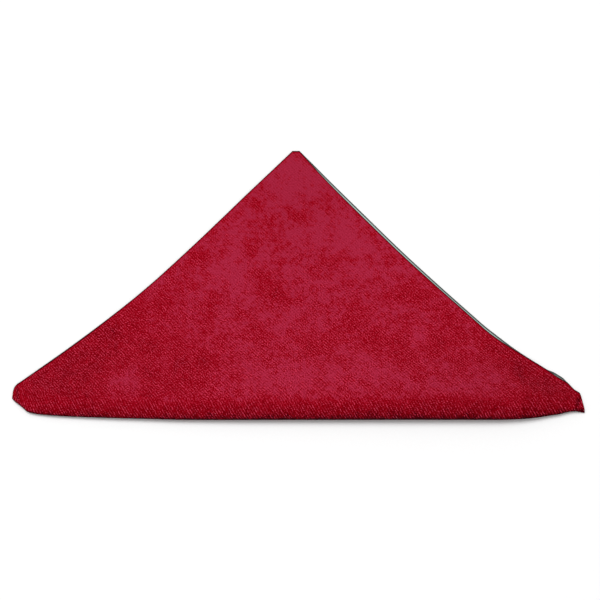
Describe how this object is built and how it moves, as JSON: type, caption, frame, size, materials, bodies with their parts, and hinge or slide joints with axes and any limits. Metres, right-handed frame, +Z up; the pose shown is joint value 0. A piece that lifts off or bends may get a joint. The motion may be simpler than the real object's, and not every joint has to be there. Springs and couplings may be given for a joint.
{
  "type": "microfibre cleaning cloth",
  "caption": "Square suede-like microfibre cloth folded once corner to corner, lying flat with a soft unpressed fold at the front.",
  "frame": {"origin": "on the surface the cloth lies on, under the middle of its outline", "axes": "+X along the fold, towards the cloth's right tip as seen from the fold, +Y from the fold towards the point, +Z up"},
  "size_m": [0.568, 0.2844, 0.0235],
  "materials": {
    "suede_microfibre": "deep red knitted microfibre with a matt, suede-like brushed nap and fine ribs on the face, pale grey-green reverse, cut edges"
  },
  "bodies": {
    "root": {"cloth": "suede_microfibre"}
  },
  "joints": []
}
